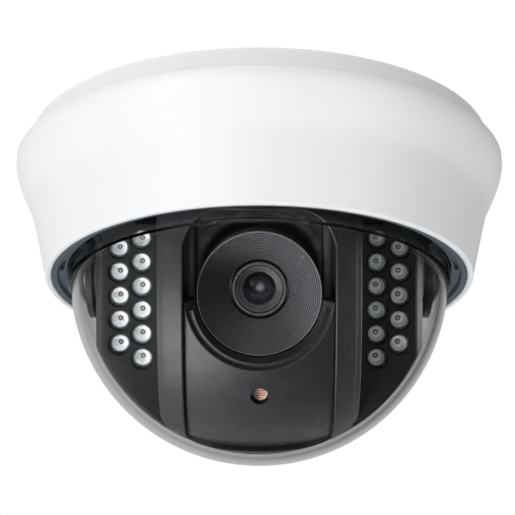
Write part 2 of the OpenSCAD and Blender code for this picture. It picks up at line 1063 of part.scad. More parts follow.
module rotation_ring() {
    color("#2a2a2a")
        in_ball()
            difference() {
                union() {
                    tube(stage_r, stage_in, clip_z[1], bracket_z[1] + running_gap);
                    tube(stage_flange_r, stage_in - 1.2, bracket_z[1] + running_gap,
                        bracket_z[1] + stage_flange_t);
                }
                around(clip_screws, 90)
                    translate([clip_screw_r, 0, clip_z[0]]) cylinder(h = 3.5, r = 0.65);
            }
}

module rotation_clip() {
    color("#3a3a3a")
        in_ball()
            difference() {
                tube(stage_flange_r, stage_in, clip_z[0], clip_z[1]);
                around(clip_screws, 90)
                    translate([clip_screw_r, 0, clip_z[0] - 1]) cylinder(h = 4, r = 0.7);
            }
}

module rotation_clip_screws() {
    color("dimgray")
        in_ball()
            around(clip_screws, 90)
                translate([clip_screw_r, 0, clip_z[0]])
                    rotate([180, 0, 0]) screw(1.1, 0.8, 0.64, 3);
}

// The funnel's face is cut into steps by its concentric grooves
funnel_steps = [
    for (i = [0 : grooves - 1], k = [0, 1])
        let (
            t = (i + k * 0.6) / grooves,
            z = funnel_z[0] + (funnel_z[1] - funnel_z[0]) * t - k * groove_depth
        )
        [funnel_throat + (funnel_rim - funnel_throat) * t, z]
];
trim_ring_foot = bracket_z[1] + stage_flange_t;

module lens_trim_ring() {
    color("#1b1b1b")
        in_ball()
            rotate_extrude()
                polygon(concat(
                    funnel_steps,
                    [
                        [funnel_rim, funnel_z[1]],
                        [trim_r, funnel_z[1]],
                        [trim_r, trim_ring_foot],
                        [trim_r - 1.1, trim_ring_foot],
                        [trim_r - 1.1, funnel_z[1] - 3.2],
                        [funnel_throat, funnel_z[0] - 1.4]
                    ]
                ));
}

// ---- camera module: boards ---------------------------------------------------------------------------------

module square_board(z0) {
    translate([0, 0, z0])
        difference() {
            linear_extrude(board_t)
                intersection() {
                    square(pcb, center = true);
                    rotate(45) square((pcb - pcb_corner) * sqrt(2), center = true);
                }
            around(4, 45)
                translate([post_at * sqrt(2), 0, -1]) cylinder(h = 4, r = 1.1);
        }
}

module board_standoffs() {
    color("gold")
        in_ball()
            around(4, 45)
                translate([post_at * sqrt(2), 0, sensor_pcb_z + board_t])
                    cylinder(h = clip_z[0] - sensor_pcb_z - board_t, r = 1.5);
}

module sensor_board() {
    color("darkgreen") in_ball() square_board(sensor_pcb_z);
}

module image_sensor() {
    color("#303038")
        in_ball()
            translate([-5, -4.5, sensor_pcb_z + board_t]) cube([10, 9, 1.1]);
}

module ir_cut_filter() {
    color("plum", 0.6)
        in_ball()
            translate([-4.5, -4.5, sensor_pcb_z + board_t + 1.4]) cube([9, 9, 0.6]);
}

module board_spacers() {
    color("gold")
        in_ball()
            around(4, 45)
                translate([post_at * sqrt(2), 0, main_pcb_z + board_t])
                    cylinder(h = sensor_pcb_z - main_pcb_z - board_t, r = 1.8, $fn = 6);
}

module main_board() {
    color("darkgreen") in_ball() square_board(main_pcb_z);
}

module processor_chip() {
    color("#202020")
        in_ball()
            translate([-7, -4, main_pcb_z - 1.3]) cube([11, 11, 1.3]);
}

module board_header() {
    color("ivory")
        in_ball()
            translate([-6, 9, main_pcb_z + board_t])
                cube([12, 3, sensor_pcb_z - main_pcb_z - board_t]);
}

module wire_connector() {
    color("ivory")
        in_ball()
            difference() {
                translate([-5, -14, main_pcb_z - 4.2]) cube([10, 5, 4.2]);
                translate([-4, -13.2, main_pcb_z - 5.2]) cube([8, 3.4, 4]);
            }
}

// ---- camera module: lens ---------------------------------------------------------------------------------------

module lens_mount() {
    foot = sensor_pcb_z + board_t;
    color("#1e1e1e")
        in_ball()
            difference() {
                union() {
                    block([-9, -9, foot], [9, 9, mount_base]);
                    block([-mount_ear, -2.4, foot], [mount_ear, 2.4, mount_base]);
                    translate([0, 0, foot]) cylinder(h = mount_end - foot, r = mount_tube_r);
                }
                block([-6.5, -6.5, foot - 1], [6.5, 6.5, foot + 2]);
                translate([0, 0, foot]) cylinder(h = 10, r = 4);
                translate([0, 0, foot + 2.7])
                    cylinder(h = mount_end, r = thread_r + running_gap);
                both_sides()
                    translate([mount_screw_x, 0, foot - 1]) cylinder(h = 3.2, r = m16_pilot_r);
            }
}

module lens_mount_screws() {
    color("dimgray")
        in_ball()
            both_sides()
                translate([mount_screw_x, 0, sensor_pcb_z + board_t])
                    cylinder(h = 2, r = m16_shank_r);
}

module lens_lock_nut() {
    color("#4a4a4a")
        in_ball()
            difference() {
                tube(nut_r, thread_r + running_gap, mount_end + running_gap,
                    mount_end + running_gap + nut_t);
                around(4)
                    translate([nut_r, 0, mount_end]) cylinder(h = 3, r = 0.7);
            }
}

barrel_outline = [
    [rear_r, barrel_z[0]],
    [thread_r, barrel_z[0]],
    [thread_r, head_z],
    [lens_head_r, head_z],
    [lens_head_r, barrel_z[1] - 0.3],
    [lens_head_r - 0.3, barrel_z[1]],
    [lens_head_r - 0.95, barrel_z[1]],
    [lens_head_r - 1.1, barrel_z[1] - 0.6],
    [front_r + 0.1, barrel_z[1] - 1.3],
    [front_r, barrel_z[1] - 1.3],
    [front_r, head_z + 0.4],
    [rear_r, head_z + 0.4]
];

module lens_barrel() {
    color("#101010") in_ball() rotate_extrude() polygon(barrel_outline);
}

// Round lens element with one bulging face on +Z
module element(r, edge, bulge) {
    ball = (r * r + bulge * bulge) / (2 * bulge);
    rotate_extrude()
        polygon(concat(
            [[0, 0], [r, 0]],
            arc([0, edge + bulge - ball], ball, asin((ball - bulge) / ball), 90, 8)
        ));
}

module front_element() {
    color("midnightblue", 0.7)
        in_ball() translate([0, 0, head_z + 0.4]) element(front_r - 0.01, 0.9, 1.5);
}

module rear_element() {
    color("midnightblue", 0.7)
        in_ball() translate([0, 0, barrel_z[0] + 0.4]) element(rear_r - 0.01, 1, 1);
}

module aperture_stop() {
    color("black") in_ball() tube(rear_r - 0.01, 1.4, 17, 17.4);
}

base_plate();
cable_grommet();
pan_retainer();
pan_retainer_screws();
pan_washer();
cover_springs();
cover_spring_screws();
cover_shell();
trim_ring();
bubble_seal();
bubble();
bubble_clamp_ring();
bubble_clamp_screws();
turntable();
yoke_arm_left();
yoke_arm_right();
yoke_screws();
pan_lock_screw();
front_shroud();
pivot_screw_left();
pivot_screw_right();
pivot_washers();
led_board_left();
led_board_right();
ir_leds_left();
ir_leds_right();
led_resistors();
led_board_screws();
led_lead();
lens_bib();
bib_screws();
photocell();
photocell_board();
photocell_lead();
lens_bracket();
lens_bracket_screws();
rotation_ring();
rotation_clip();
rotation_clip_screws();
lens_trim_ring();
board_standoffs();
sensor_board();
image_sensor();
ir_cut_filter();
lens_mount();
lens_mount_screws();
board_spacers();
main_board();
processor_chip();
board_header();
wire_connector();
lens_lock_nut();
lens_barrel();
front_element();
rear_element();
aperture_stop();
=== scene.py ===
"""An indoor dome camera: white base and cover, clear bubble and a black camera ball.

Lengths in the outlines are millimetres and become metres when a mesh is made. Outlines of
turned pieces are (radius, height) pairs about their own axis. Pieces of the ball are made in
the ball's own frame: X across, Y up its window, Z forward along the lens.
"""
import json
import math

import bmesh
import bpy
from mathutils import Matrix, Vector


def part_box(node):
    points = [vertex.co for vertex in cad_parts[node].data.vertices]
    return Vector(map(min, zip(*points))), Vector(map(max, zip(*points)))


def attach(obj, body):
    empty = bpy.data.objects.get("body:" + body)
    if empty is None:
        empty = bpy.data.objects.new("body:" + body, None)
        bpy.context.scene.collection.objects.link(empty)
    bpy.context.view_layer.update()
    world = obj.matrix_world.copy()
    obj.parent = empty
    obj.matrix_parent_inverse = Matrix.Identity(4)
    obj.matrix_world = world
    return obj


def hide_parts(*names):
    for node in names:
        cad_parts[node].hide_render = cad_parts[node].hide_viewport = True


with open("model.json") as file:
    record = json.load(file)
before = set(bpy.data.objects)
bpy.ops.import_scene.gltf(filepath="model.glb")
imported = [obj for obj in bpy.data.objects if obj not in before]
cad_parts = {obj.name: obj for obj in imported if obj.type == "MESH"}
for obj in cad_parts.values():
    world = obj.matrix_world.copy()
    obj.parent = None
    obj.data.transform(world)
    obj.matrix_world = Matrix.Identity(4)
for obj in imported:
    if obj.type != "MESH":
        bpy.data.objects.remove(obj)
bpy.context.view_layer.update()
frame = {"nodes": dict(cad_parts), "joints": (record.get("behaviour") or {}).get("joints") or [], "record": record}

MM = 0.001
TOUCH = 1e-6  # shorter distances count as none, in the outlines' own millimetres
MERGE = 1e-5  # points closer than this are made one
JOINTS = {joint["name"]: joint for joint in frame["joints"]}
NODES = frame["nodes"]


# ---- places that come from the frame -----------------------------------------------------


def ball_frame():
    """The ball's own frame at rest, from the tilt and image rotation joints."""
    forward = Vector(JOINTS["image_rotation"]["axis"]).normalized()
    across = Vector(JOINTS["tilt"]["axis"]).normalized()
    up = forward.cross(across)
    turn = Matrix((across, up, forward)).transposed().to_4x4()
    return Matrix.Translation(JOINTS["tilt"]["pos_m"]) @ turn


BALL = ball_frame()
UPRIGHT = Matrix.Identity(4)
ABOUT_X = Matrix(((0, 0, 1, 0), (1, 0, 0, 0), (0, 1, 0, 0), (0, 0, 0, 1)))
SWAP_YZ = Matrix(((1, 0, 0, 0), (0, 0, 1, 0), (0, 1, 0, 0), (0, 0, 0, 1)))
MIRROR = Matrix.Scale(-1, 4, (1, 0, 0))


def top_of(node):
    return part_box(node)[1].z / MM


def bottom_of(node):
    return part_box(node)[0].z / MM


# ---- outlines ----------------------------------------------------------------------------


def bezier(a, b, c, d, steps=14):
    """Points of a cubic curve, both ends included."""
    points = []
    for i in range(steps + 1):
        t = i / steps
        s = 1 - t
        weights = (s * s * s, 3 * s * s * t, 3 * s * t * t, t * t * t)
        points.append(tuple(sum(w * p[k] for w, p in zip(weights, (a, b, c, d))) for k in (0, 1)))
    return points


def arc(centre, r, start, end, steps=8):
    """Points of a circle from one angle to another, in degrees, both ends included."""
    points = []
    for i in range(steps + 1):
        angle = math.radians(start + (end - start) * i / steps)
        points.append((centre[0] + r * math.cos(angle), centre[1] + r * math.sin(angle)))
    return points


def rounded(corners, steps=4):
    """Closed outline in which a corner written (x, y, r) is a fillet of radius r."""
    points = []
    count = len(corners)
    for i, corner in enumerate(corners):
        here = Vector(corner[:2])
        radius = corner[2] if len(corner) > 2 else 0
        if not radius:
            points.append(tuple(here))
            continue
        back = (Vector(corners[i - 1][:2]) - here)
        ahead = (Vector(corners[(i + 1) % count][:2]) - here)
        half = back.angle(ahead) / 2
        reach = min(radius / math.tan(half), 0.49 * back.length, 0.49 * ahead.length)
        radius = reach * math.tan(half)
        first = here + back.normalized() * reach
        last = here + ahead.normalized() * reach
        centre = here + (back.normalized() + ahead.normalized()).normalized() * (
            radius / math.sin(half))
        u = (first - centre).normalized()
        v = (last - centre).normalized()
        sweep = u.angle(v)
        for k in range(steps + 1):
            a = sweep * k / steps
            mix = (u * math.sin(sweep - a) + v * math.sin(a)) / math.sin(sweep)
            points.append(tuple(centre + mix * radius))
    return points


# ---- meshes ------------------------------------------------------------------------------


def turned(bm, outline, place, turns=192):
    """Adds a closed outline turned about the local Z axis."""
    rings = []
    for k in range(turns):
        angle = 2 * math.pi * k / turns
        cos, sin = math.cos(angle), math.sin(angle)
        rings.append([bm.verts.new(place @ Vector((r * cos, r * sin, h))) for r, h in outline])
    count = len(outline)
    for k in range(turns):
        near, far = rings[k], rings[(k + 1) % turns]
        for i in range(count):
            j = (i + 1) % count
            if outline[i][0] < TOUCH and outline[j][0] < TOUCH:
                continue
            bm.faces.new((near[i], far[i], far[j], near[j]))
    bmesh.ops.remove_doubles(bm, verts=bm.verts, dist=MERGE)


def tube(bm, place, bore, outside, start, end, turns=32):
    """Adds a tube, or with no bore a cylinder, along the local Z axis. Sizes are radii."""
    turned(bm, [(bore, start), (outside, start), (outside, end), (bore, end)], place, turns)


def slab(bm, outline, z0, z1, place=UPRIGHT):
    """Adds a closed outline in local XY, thickened from z0 to z1."""
    low = [bm.verts.new(place @ Vector((x, y, z0))) for x, y in outline]
    high = [bm.verts.new(place @ Vector((x, y, z1))) for x, y in outline]
    bm.faces.new(list(reversed(low)))
    bm.faces.new(high)
    count = len(outline)
    for i in range(count):
        j = (i + 1) % count
        bm.faces.new((low[i], low[j], high[j], high[i]))


def cut_away(bm, point, normal):
    """Removes what lies beyond a plane and closes the cut."""
    everything = list(bm.verts) + list(bm.edges) + list(bm.faces)
    bmesh.ops.bisect_plane(bm, geom=everything, dist=TOUCH, plane_co=point, plane_no=normal,
                           clear_outer=True)
    open_edges = [e for e in bm.edges if e.is_boundary]
    bmesh.ops.holes_fill(bm, edges=open_edges, sides=0)


def soften(bm, width, segments=2, angle=35):
    """Rounds the edges sharper than an angle in degrees."""
    edges = [e for e in bm.edges
             if len(e.link_faces) == 2 and e.calc_face_angle(0) > math.radians(angle)]
    bmesh.ops.bevel(bm, geom=edges, offset=width, segments=segments, profile=0.5,
                    affect="EDGES", clamp_overlap=True)


def temporary(bm):
    """A throw-away object that holds a closed shape."""
    bmesh.ops.recalc_face_normals(bm, faces=bm.faces)
    mesh = bpy.data.meshes.new("temporary")
    bm.to_mesh(mesh)
    bm.free()
    obj = bpy.data.objects.new("temporary", mesh)
    bpy.context.scene.collection.objects.link(obj)
    return obj


def carve(bm, cutter):
    """Takes one closed shape out of another, and returns what is left."""
    whole, tool = temporary(bm), temporary(cutter)
    modifier = whole.modifiers.new("cut", "BOOLEAN")
    modifier.object = tool
    modifier.operation = "DIFFERENCE"
    modifier.solver = "EXACT"
    graph = bpy.context.evaluated_depsgraph_get()
    mesh = bpy.data.meshes.new_from_object(whole.evaluated_get(graph))
    result = bmesh.new()
    result.from_mesh(mesh)
    bpy.data.meshes.remove(mesh)
    for obj in (whole, tool):
        data = obj.data
        bpy.data.objects.remove(obj)
        bpy.data.meshes.remove(data)
    return result


def piece(name, bm, body, material, stands_for=(), place=UPRIGHT, local=UPRIGHT, sharp=40):
    """Turns millimetre geometry into an object that rides on a body."""
    bmesh.ops.recalc_face_normals(bm, faces=bm.faces)
    bm.transform(place @ Matrix.Scale(MM, 4) @ local)
    mesh = bpy.data.meshes.new(name)
    bm.to_mesh(mesh)
    bm.free()
    mesh.shade_smooth()
    mesh.set_sharp_from_angle(angle=math.radians(sharp))
    obj = bpy.data.objects.new(name, mesh)
    bpy.context.scene.collection.objects.link(obj)
    obj.data.materials.append(material)
    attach(obj, body)
    if stands_for:
        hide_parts(*stands_for)
    return obj


def lathe(name, outline, body, material, stands_for=(), place=UPRIGHT, turns=192, sharp=40):
    """A piece that is one outline turned about its own axis."""
    bm = bmesh.new()
    turned(bm, outline, UPRIGHT, turns)
    return piece(name, bm, body, material, stands_for, place, sharp=sharp)


# ---- materials ---------------------------------------------------------------------------


NOISE_LOW, NOISE_HIGH = 0.3, 0.7  # most of a noise texture lies between these


class Look:
    """A procedural material with a Principled shader, in object coordinates."""

    def __init__(self, name, rough, **sockets):
        self.material = bpy.data.materials.new(name)
        self.material.use_nodes = True
        self.tree = self.material.node_tree
        self.shader = self.tree.nodes["Principled BSDF"]
        self.shader.inputs["Roughness"].default_value = rough
        for socket, value in sockets.items():
            self.shader.inputs[socket.replace("_", " ")].default_value = value
        self.place = self.tree.nodes.new("ShaderNodeTexCoord").outputs["Object"]

    def node(self, kind, **inputs):
        made = self.tree.nodes.new(kind)
        for socket, value in inputs.items():
            made.inputs[socket.replace("_", " ")].default_value = value
        return made

    def link(self, out, into):
        self.tree.links.new(out, into)

    def noise(self, size, detail=2.0):
        """Noise with features of about that size in millimetres."""
        made = self.node("ShaderNodeTexNoise", Scale=1 / (size * MM), Detail=detail)
        self.link(self.place, made.inputs["Vector"])
        return made.outputs["Fac"]

    def between(self, factor, low, high):
        """A number that goes from low to high with factor."""
        made = self.node("ShaderNodeMapRange", From_Min=NOISE_LOW, From_Max=NOISE_HIGH)
        made.inputs["To Min"].default_value = low
        made.inputs["To Max"].default_value = high
        self.link(factor, made.inputs["Value"])
        return made.outputs["Result"]

    def colours(self, factor, low, high):
        """A base colour that goes from low to high with factor."""
        ramp = self.tree.nodes.new("ShaderNodeValToRGB")
        ramp.color_ramp.elements[0].position = NOISE_LOW
        ramp.color_ramp.elements[1].position = NOISE_HIGH
        ramp.color_ramp.elements[0].color = (*low, 1)
        ramp.color_ramp.elements[1].color = (*high, 1)
        self.link(factor, ramp.inputs["Fac"])
        self.link(ramp.outputs["Color"], self.shader.inputs["Base Color"])

    def roughness(self, factor, low, high):
        self.link(self.between(factor, low, high), self.shader.inputs["Roughness"])

    def bump(self, factor, depth):
        """Relief of that depth in millimetres."""
        made = self.node("ShaderNodeBump", Strength=1.0, Distance=depth * MM)
        self.link(factor, made.inputs["Height"])
        self.link(made.outputs["Normal"], self.shader.inputs["Normal"])


def moulded(name, colour, rough, spread=0.08, grain=0.35, depth=0.01, **sockets):
    """Moulded plastic: slightly uneven colour and gloss, and a fine surface texture."""
    look = Look(name, rough, **sockets)
    cloud = look.noise(14)
    darker = tuple(c * (1 - spread) for c in colour)
    look.colours(cloud, darker, colour)
    look.roughness(look.noise(3), rough * 0.85, min(1, rough * 1.15))
    look.bump(look.noise(grain, 1.0), depth)
    return look.material


def metal(name, colour, rough, grain=0.25, depth=0.004):
    """Plated or turned metal with fine brushing."""
    look = Look(name, rough, Metallic=1.0)
    look.colours(look.noise(2), tuple(c * 0.85 for c in colour), colour)
    look.roughness(look.noise(0.8), rough * 0.8, rough * 1.2)
    look.bump(look.noise(grain, 3.0), depth)
    return look.material


def circuit_board():
    """Green solder mask over tracks."""
    look = Look("circuit_board", 0.35)
    tracks = look.node("ShaderNodeTexBrick", Scale=1 / (4 * MM))
    look.link(look.place, tracks.inputs["Vector"])
    tracks.inputs["Color1"].default_value = (0.02, 0.16, 0.06, 1)
    tracks.inputs["Color2"].default_value = (0.015, 0.12, 0.05, 1)
    tracks.inputs["Mortar"].default_value = (0.04, 0.24, 0.10, 1)
    tracks.inputs["Mortar Size"].default_value = 0.05
    look.link(tracks.outputs["Color"], look.shader.inputs["Base Color"])
    look.roughness(look.noise(1.5), 0.28, 0.45)
    look.bump(tracks.outputs["Fac"], 0.03)
    return look.material


def clear(name, ior, rough, tint, coat=0.0):
    """See-through material that lets lamps reach what is behind it.

    The coat is a little rougher than the body, so that lamps leave a highlight on it.
    """
    look = Look(name, rough, IOR=ior)
    look.shader.inputs["Transmission Weight"].default_value = 1.0
    look.shader.inputs["Base Color"].default_value = (*tint, 1)
    look.shader.inputs["Coat Weight"].default_value = coat
    look.shader.inputs["Coat Roughness"].default_value = 0.12
    look.bump(look.noise(9, 1.0), 0.004)
    tree = look.tree
    path = tree.nodes.new("ShaderNodeLightPath")
    through = tree.nodes.new("ShaderNodeBsdfTransparent")
    through.inputs["Color"].default_value = (*(math.sqrt(c) for c in tint), 1)
    mix = tree.nodes.new("ShaderNodeMixShader")
    look.link(path.outputs["Is Shadow Ray"], mix.inputs[0])
    look.link(look.shader.outputs["BSDF"], mix.inputs[1])
    look.link(through.outputs["BSDF"], mix.inputs[2])
    look.link(mix.outputs["Shader"], tree.nodes["Material Output"].inputs["Surface"])
    return look.material


# moulded: colour, roughness, spread of the colour, size of the grain and its depth in millimetres
# metal: colour, roughness. clear: refractive index, roughness, tint, coat
LOOKS = {
    "white_plastic": moulded("white_satin", (0.87, 0.885, 0.90), 0.48, 0.01, 0.5, 0.003),
    "base_plastic": moulded("white_matt", (0.97, 0.975, 0.97), 0.5, 0.015, 0.4, 0.006),
    "slate_trim": moulded("slate_plastic", (0.12, 0.15, 0.175), 0.42, 0.12, 0.3, 0.006),
    "clear_bubble": clear("polycarbonate", 1.585, 0.0, (0.79, 0.80, 0.81)),
    "black_abs": moulded("black_grained", (0.016, 0.0165, 0.018), 0.4, 0.2, 0.22, 0.03),
    "black_machined": metal("black_anodised", (0.10, 0.10, 0.105), 0.35),
    "led_epoxy": clear("clear_epoxy", 1.54, 0.0, (0.96, 0.97, 0.98), 1.0),
    "lens_glass": clear("coated_glass", 1.6, 0.0, (0.80, 0.82, 0.95), 0.4),
    "filter_glass": clear("filter_glass", 1.5, 0.0, (0.80, 0.62, 0.72)),
    "pcb_green": circuit_board(),
    "chip_black": moulded("chip_package", (0.03, 0.03, 0.032), 0.5, 0.15, 0.15, 0.01),
    "sensor_dark": moulded("sensor_package", (0.07, 0.07, 0.09), 0.25, 0.2, 0.5, 0.002),
    "photocell_face": moulded("photocell_body", (0.72, 0.60, 0.46), 0.35, 0.1, 0.3, 0.004),
    "zinc_steel": metal("zinc_steel", (0.62, 0.62, 0.63), 0.3),
    "dark_steel": metal("black_oxide", (0.06, 0.06, 0.062), 0.38),
    "spring_steel": metal("spring_steel", (0.68, 0.69, 0.70), 0.22),
    "brass_post": metal("brass", (0.75, 0.55, 0.24), 0.28),
    "black_rubber": moulded("rubber", (0.015, 0.015, 0.016), 0.65, 0.2, 0.3, 0.02),
    "ivory_plastic": moulded("nylon", (0.76, 0.72, 0.60), 0.45, 0.06, 0.4, 0.006),
    "red_lead": moulded("red_insulation", (0.50, 0.03, 0.02), 0.35, 0.15, 0.3, 0.004),
    "yellow_lead": moulded("yellow_insulation", (0.66, 0.44, 0.05), 0.35, 0.15, 0.3, 0.004),
    "black_ring": moulded("black_turned", (0.10, 0.101, 0.105), 0.24, 0.1, 0.3, 0.002),
    # Painted shade: the LED panels are the shroud's own black plastic in a darker copy, with weaker reflection, so
    # that they read darker than the ribs
    "black_panel_painted_shade": moulded("black_panel_painted_shade", (0.009, 0.0092, 0.01), 0.45, 0.2, 0.22, 0.02,
                           Specular_IOR_Level=0.22),
    "cell_track": moulded("cell_track", (0.55, 0.12, 0.08), 0.3, 0.1, 0.3, 0.002),
    "led_silver": moulded("silvered_frame", (0.93, 0.94, 0.95), 0.3, 0.08, 0.2, 0.01),
    "led_die": moulded("led_die", (0.12, 0.10, 0.06), 0.3, 0.2, 0.3, 0.002),
}


def dress_cad_nodes():
    """Gives every CAD node the look of its material slot, and smooth shading."""
    for part in frame["record"]["subparts"]:
        obj = NODES[part["node"]]
        obj.data.materials.clear()
        obj.data.materials.append(LOOKS[part["material_slot"]])
        obj.data.shade_smooth()
        obj.data.set_sharp_from_angle(angle=math.radians(35))


# ---- cover and bubble --------------------------------------------------------------------

COVER_R = 65.2
COVER_WAIST = 61
COVER_WALL = 2.2
LIP_OUT, LIP_IN = 56.55, 54.95
LEDGE_R, LEDGE = 55.4, -32
BUBBLE_R = 50
BUBBLE_WALL = 2
COLLAR_R = 50.6
FLANGE_R = 52.1


def make_cover():
    """White shell: rounded shoulder, hollow flare, and a lip round the trim ring."""
    top, bottom = top_of("cover_shell"), bottom_of("cover_shell")
    edge = 0.35
    waist = (COVER_WAIST, top - 13.4)
    shoulder = bezier((COVER_R, top), (65.9, top - 4), (62.4, top - 9.8), waist)
    flare = bezier(waist, (60.1, top - 15.7), (57.9, bottom + 6.4), (56.6, bottom + 0.8))
    inner = [(r - COVER_WALL, z) for r, z in shoulder + flare[1:] if z > LEDGE + 0.5]
    outline = rounded(
        [(*shoulder[0], edge)] + shoulder[2:] + flare[1:-1]
        + [(LIP_OUT, bottom, 0.8), (LIP_IN, bottom, 0.5), (LEDGE_R, LEDGE)]
        + list(reversed(inner[1:])) + [(*inner[0], edge)], 6)
    lathe("cover", outline, "cover", LOOKS["white_plastic"], ["cover_shell"],
          turns=256)


def make_bubble():
    """Clear dome about the tilt axis, with a thicker collar and a flange above it."""
    centre = JOINTS["tilt"]["pos_m"][2] / MM
    top, step, foot = top_of("bubble"), centre + 2.8, centre - 3.3
    inside = BUBBLE_R - BUBBLE_WALL
    outline = rounded(
        arc((0, centre), BUBBLE_R, -90, -4.3, 48)
        + [(COLLAR_R, foot, 0.2), (COLLAR_R, step), (FLANGE_R, step, 0.2), (FLANGE_R, top, 0.2),
           (inside, top, 0.3)]
        + arc((0, centre), inside, 0, -90, 48), 3)
    lathe("clear_bubble", outline, "cover", LOOKS["clear_bubble"], ["bubble"],
          turns=256, sharp=30)


# ---- ball: shroud ------------------------------------------------------------------------

BALL_R = 47  # outside of the ribs and skins
SKIN_R = 44.8  # their inside
STEP_R = 46.2  # lower step of a rib
BACK = -4  # Z of the shroud's open back
WINDOW = 18.5  # X of a rib's inner flank, where the window begins
STEP = 23.7  # X of the step on a rib
MIDDLE = 25  # X of a rib's outer flank, where the LED panel begins
MIDDLE_TOP = 23
RIB_ROOT = 36.5  # how far in a rib reaches, from the tilt axis
WINDOW_TOP = 21
WINDOW_BOTTOM = -42
CORNER = 10  # rounding of the window's upper corners
PANEL = 16  # Z of the LED panel's face
PANEL_T = 2
PANEL_EDGE = 40.1  # X at which the panel's flat face ends
SIDE = 42  # X of the ball's flat side
SIDE_TOP = 16
SIDE_ROUND = 5
SIDE_FACE = PANEL - 0.5  # Z at which skin and roof stop, under the panel's face
ROOF_T = 1.3
WALL = 2
LAP = 0.6  # how far the window's head and sill run into the ribs
TUCK = 0.02  # keeps a face from lying in the face of its neighbour
EDGE = 0.4  # rounding of plain edges
LED_PITCH = 6.2
LED_HOLE = 2.65
LED_COLUMNS = ((30.2, -3.8, 6), (35.9, -3.2, 5))  # X, middle Y and number of LEDs
BRACKET_BOSSES = ((20.9, 17.5), (20.9, -27))
BOARD_POSTS = ((27.4, -24.4), (36, -21.5))
STOP_Y, STOP_R, STOP_LENGTH = -8.6, 1.1, 0.89


def level(r, *sides):
    """Height of a sphere of radius r above a point at those distances from its axis."""
    return math.sqrt(max(r * r - sum(side * side for side in sides), 0))


def along(r, start, end, steps=10):
    """(distance, height) points of a circle between two distances from its axis."""
    stops = [start + (end - start) * i / steps for i in range(steps + 1)]
    return [(stop, level(r, stop)) for stop in stops]


def turned_across(outline, turns=288):
    """A closed (x, radius) outline turned about the ball's X axis."""
    bm = bmesh.new()
    turned(bm, [(radius, x) for x, radius in outline], ABOUT_X, turns)
    bmesh.ops.recalc_face_normals(bm, faces=bm.faces)
    return bm


def led_places():
    """X and Y of the right bank's LEDs."""
    return [(x, y + (i - (count - 1) / 2) * LED_PITCH)
            for x, y, count in LED_COLUMNS for i in range(count)]


def arch():
    """One rib beside the window, with a small step on its outer flank."""
    outline = rounded(
        [(WINDOW, level(BALL_R, WINDOW), 0.9)] + along(BALL_R, WINDOW + 1.1, STEP - 0.35, 6)
        + [(STEP, level(BALL_R, STEP), 0.25), (STEP, level(STEP_R, STEP), 0.12)]
        + [(MIDDLE, level(STEP_R, MIDDLE), 0.4), (MIDDLE, RIB_ROOT), (MIDDLE - WALL, RIB_ROOT)]
        + along(SKIN_R, MIDDLE - WALL, WINDOW + 0.5, 4) + [(WINDOW, level(SKIN_R, WINDOW), 0.4)])
    bm = turned_across(outline)
    cut_away(bm, (0, MIDDLE_TOP, 0), (0, 1, 0))
    cut_away(bm, (0, 0, BACK), (0, 0, -1))
    return bm


def rib_wall():
    """Flat wall that carries a rib, standing on the LED panel and above it."""
    r = level(STEP_R, MIDDLE) - 0.6
    head, heel = MIDDLE_TOP - 0.1, BACK + TUCK
    low, inner = PANEL - PANEL_T, SIDE_TOP - ROOF_T
    start = math.degrees(math.asin(low / r))
    end = math.degrees(math.acos(-head / r))
    outline = [(head, heel)]
    outline += [(-y, z) for y, z in arc((0, 0), r, end, start, 40)]
    outline += [(inner, low), (inner, heel)]
    bm = bmesh.new()
    slab(bm, outline, MIDDLE - WALL + TUCK, MIDDLE - TUCK, ABOUT_X)
    return bm


def top_plate():
    """Plate over the window, whose front edge follows the ball."""
    front = along(level(BALL_R, MIDDLE_TOP), -MIDDLE, MIDDLE, 32)
    bm = bmesh.new()
    slab(bm, [(-MIDDLE, BACK)] + front + [(MIDDLE, BACK)], WINDOW_TOP, MIDDLE_TOP, SWAP_YZ)
    soften(bm, EDGE)
    return bm


def window_head():
    """Skin above the window, whose upper corners are rounded."""
    bm = bmesh.new()
    columns, rows = 48, 4
    half = WINDOW + LAP
    layers = []
    for r in (BALL_R, SKIN_R):
        grid = []
        for i in range(columns + 1):
            x = -half + 2 * half * i / columns
            past = max(abs(x) - (WINDOW - CORNER), 0)
            low = WINDOW_TOP - CORNER + level(CORNER, min(past, CORNER))
            heights = [low + (MIDDLE_TOP - low) * j / rows for j in range(rows + 1)]
            grid.append([bm.verts.new((x, y, level(r, x, y))) for y in heights])
        layers.append(grid)
    for grid in layers:
        for i in range(columns):
            for j in range(rows):
                bm.faces.new((grid[i][j], grid[i + 1][j], grid[i + 1][j + 1], grid[i][j + 1]))
    outer, inner = layers
    for j in (0, rows):
        for i in range(columns):
            bm.faces.new((outer[i][j], outer[i + 1][j], inner[i + 1][j], inner[i][j]))
    for i in (0, columns):
        for j in range(rows):
            bm.faces.new((outer[i][j], outer[i][j + 1], inner[i][j + 1], inner[i][j]))
    bmesh.ops.recalc_face_normals(bm, faces=bm.faces)
    soften(bm, 0.6, 3)
    return bm


def window_sill():
    """Skin below the window."""
    half = WINDOW + LAP
    bm = turned_across(along(BALL_R, -half, half, 16) + along(SKIN_R, half, -half, 16))
    cut_away(bm, (0, WINDOW_BOTTOM, 0), (0, 1, 0))
    cut_away(bm, (0, 0, BACK), (0, 0, -1))
    soften(bm, EDGE)
    return bm


def chamfer(bm):
    """Cuts the slanting edge along the outer side of an LED panel."""
    run, rise = SIDE - PANEL_EDGE, 3
    cut_away(bm, (PANEL_EDGE, 0, PANEL), (rise, 0, run))


